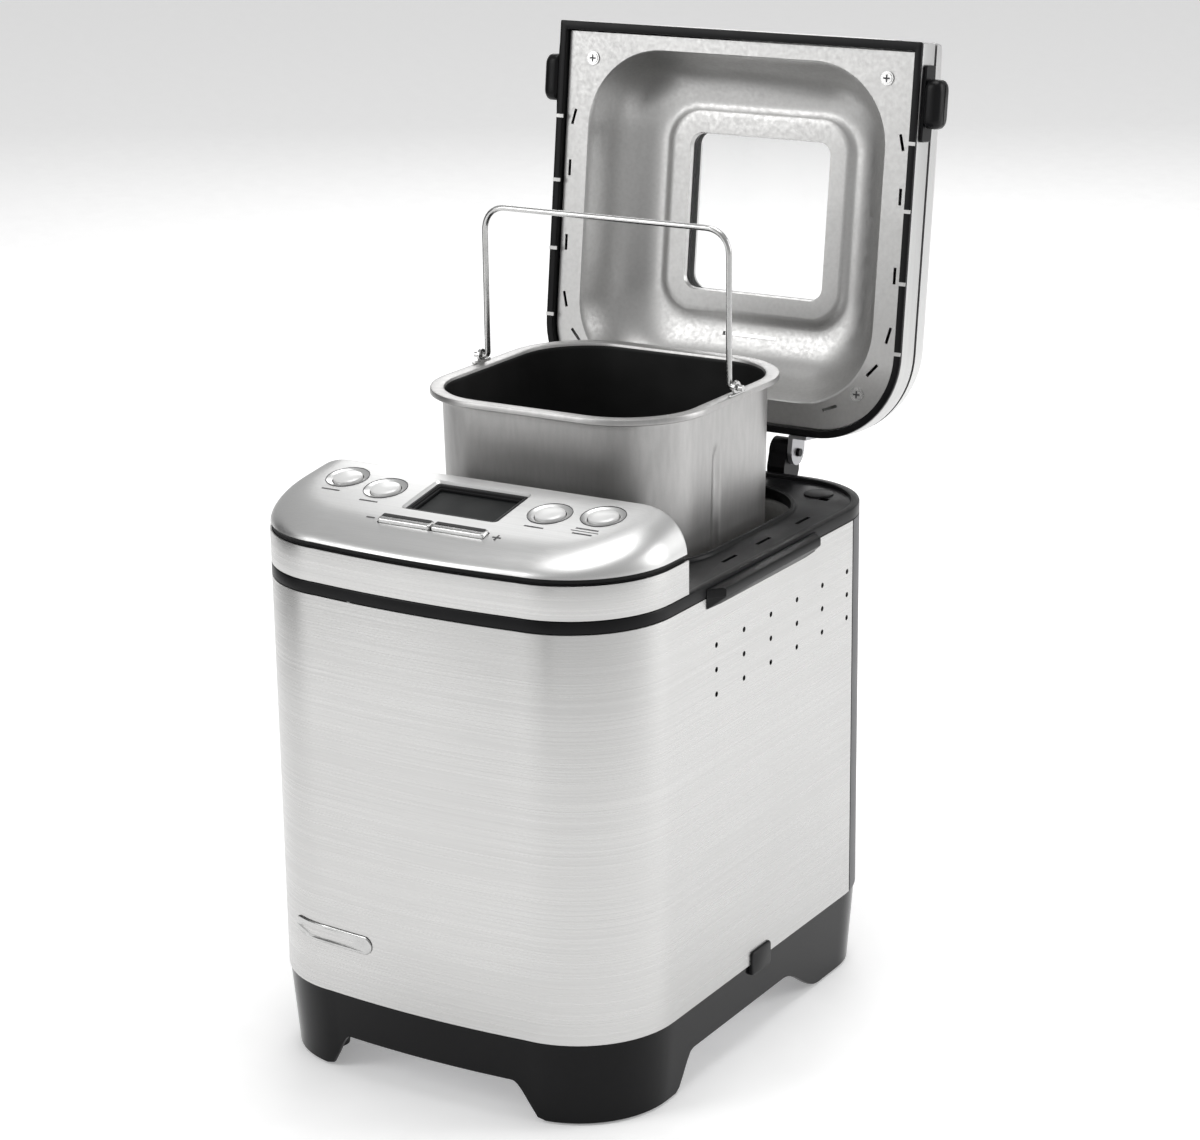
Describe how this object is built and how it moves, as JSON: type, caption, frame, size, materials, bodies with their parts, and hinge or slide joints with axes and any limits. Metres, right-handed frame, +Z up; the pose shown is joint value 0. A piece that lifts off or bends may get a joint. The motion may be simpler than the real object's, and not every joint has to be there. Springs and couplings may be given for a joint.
{
  "type": "bread machine",
  "caption": "Upright bread machine with a rounded brushed-steel case, sloping control panel, hinged windowed lid and a lift-out kneading pan with a wire handle.",
  "frame": {"origin": "on the table, under the middle of the machine's box with its lid open and pan raised", "axes": "+Z up, -Y towards the control panel at the front, +X to the viewer's right from the front"},
  "size_m": [0.2746, 0.409, 0.5572],
  "materials": {
    "steel_skin": "fine horizontal brushing, satin",
    "silver_cover": "satin silver with a faint brushed grain",
    "black_gloss": "glossy black",
    "black_satin": "satin black with a fine grain",
    "rubber_black": "matt moulded rubber",
    "zinc_sheet": "dull zinc-plated sheet",
    "grey_back": "dark grey powder coat",
    "chamber_steel": "pressed sheet, semi-bright",
    "cast_grey": "as-cast, matt",
    "liner_satin": "satin silver, faintly mottled",
    "pan_grey": "grey non-stick coat with a metallic sheen",
    "bright": "polished",
    "pearl": "pearl silver push button",
    "pane": "clear",
    "display": "dark glossy window",
    "circuit": "green board"
  },
  "bodies": {
    "chassis": {"wrap_steel": "steel_skin", "control_band": "steel_skin", "control_cover": "silver_cover", "base_skirt": "black_gloss", "deck_frame": "black_satin", "side_grip_left": "black_satin", "side_grip_right": "black_satin", "control_housing": "black_satin", "lcd_frame": "black_satin", "hinge_bracket_left": "black_satin", "hinge_bracket_right": "black_satin", "foot_front_left": "rubber_black", "foot_front_right": "rubber_black", "foot_back_left": "rubber_black", "foot_back_right": "rubber_black", "cord_gland": "rubber_black", "belt": "rubber_black", "base_tray": "zinc_sheet", "drive_plate": "zinc_sheet", "motor": "zinc_sheet", "heating_element": "zinc_sheet", "back_cover": "grey_back", "chamber_liner": "chamber_steel", "pan_seat": "chamber_steel", "temperature_probe": "chamber_steel", "bearing_housing": "cast_grey", "lcd_lens": "display", "control_board": "circuit"},
    "lid": {"lid_frame": "black_satin", "lid_band": "steel_skin", "lid_front_strip": "steel_skin", "lid_liner": "liner_satin", "lid_cover": "silver_cover", "window_frame": "black_satin", "window_inner": "pane", "window_outer": "pane", "lid_grip_left": "black_satin", "lid_grip_right": "black_satin", "lid_screw_front_left": "bright", "lid_screw_front_right": "bright", "lid_screw_back_left": "bright", "lid_screw_back_right": "bright", "hinge_leaf_left": "zinc_sheet", "hinge_leaf_right": "zinc_sheet"},
    "pan": {"pan_body": "pan_grey", "pan_foot": "cast_grey", "bail_clip_left": "bright", "bail_clip_right": "bright"},
    "bail": {"bail_handle": "bright"},
    "paddle": {"pan_shaft": "bright", "paddle": "pan_grey"},
    "drive": {"drive_shaft": "bright", "drive_pulley": "black_satin"},
    "rotor": {"motor_pulley": "bright"},
    "button_program_body": {"button_program": "pearl"},
    "button_colour_body": {"button_colour": "pearl"},
    "button_size_body": {"button_size": "pearl"},
    "button_start_body": {"button_start": "pearl"},
    "key_minus_body": {"key_minus": "bright"},
    "key_plus_body": {"key_plus": "bright"}
  },
  "joints": [
    {"name": "lid_hinge", "type": "hinge", "parent": "chassis", "child": "lid", "pos_m": [0, 0.13494, 0.305], "axis": [1, 0, 0], "range_deg": [0, 97.1]},
    {"name": "pan_lift", "type": "slide", "parent": "chassis", "child": "pan", "axis": [0, 0, 1], "range_m": [-0.088, 0.15]},
    {"name": "bail_pivot", "type": "hinge", "parent": "pan", "child": "bail", "pos_m": [0, 0.00054, 0.3782], "axis": [1, 0, 0], "range_deg": [0, 85]},
    {"name": "drive_spin", "type": "hinge", "parent": "chassis", "child": "drive", "pos_m": [0, 0.00054, 0.034], "axis": [0, 0, 1], "continuous": true},
    {"name": "motor_spin", "type": "hinge", "parent": "chassis", "child": "rotor", "pos_m": [0.038, -0.13846, 0.034], "axis": [0, 0, 1], "continuous": true},
    {"name": "paddle_spin", "type": "hinge", "parent": "pan", "child": "paddle", "pos_m": [0, 0.00054, 0.2], "axis": [0, 0, 1], "continuous": true},
    {"name": "button_program_press", "type": "slide", "parent": "chassis", "child": "button_program_body", "axis": [0, -0.1754, 0.9845], "range_m": [-0.0015, 0], "stiffness_N_per_m": 600},
    {"name": "button_colour_press", "type": "slide", "parent": "chassis", "child": "button_colour_body", "axis": [0, -0.1816, 0.9834], "range_m": [-0.0015, 0], "stiffness_N_per_m": 600},
    {"name": "button_size_press", "type": "slide", "parent": "chassis", "child": "button_size_body", "axis": [0, -0.1816, 0.9834], "range_m": [-0.0015, 0], "stiffness_N_per_m": 600},
    {"name": "button_start_press", "type": "slide", "parent": "chassis", "child": "button_start_body", "axis": [0, -0.1754, 0.9845], "range_m": [-0.0015, 0], "stiffness_N_per_m": 600},
    {"name": "key_minus_press", "type": "slide", "parent": "chassis", "child": "key_minus_body", "axis": [0, -0.2152, 0.9766], "range_m": [-0.0015, 0], "stiffness_N_per_m": 600},
    {"name": "key_plus_press", "type": "slide", "parent": "chassis", "child": "key_plus_body", "axis": [0, -0.2152, 0.9766], "range_m": [-0.0015, 0], "stiffness_N_per_m": 600}
  ],
  "couplings": [
    {"joint": "pan_lift", "follows": "lid_hinge", "m_per_rad": -0.0519},
    {"joint": "bail_pivot", "follows": "lid_hinge", "ratio": 0.875},
    {"joint": "motor_spin", "follows": "drive_spin", "ratio": 5},
    {"joint": "paddle_spin", "follows": "drive_spin", "ratio": 1}
  ]
}
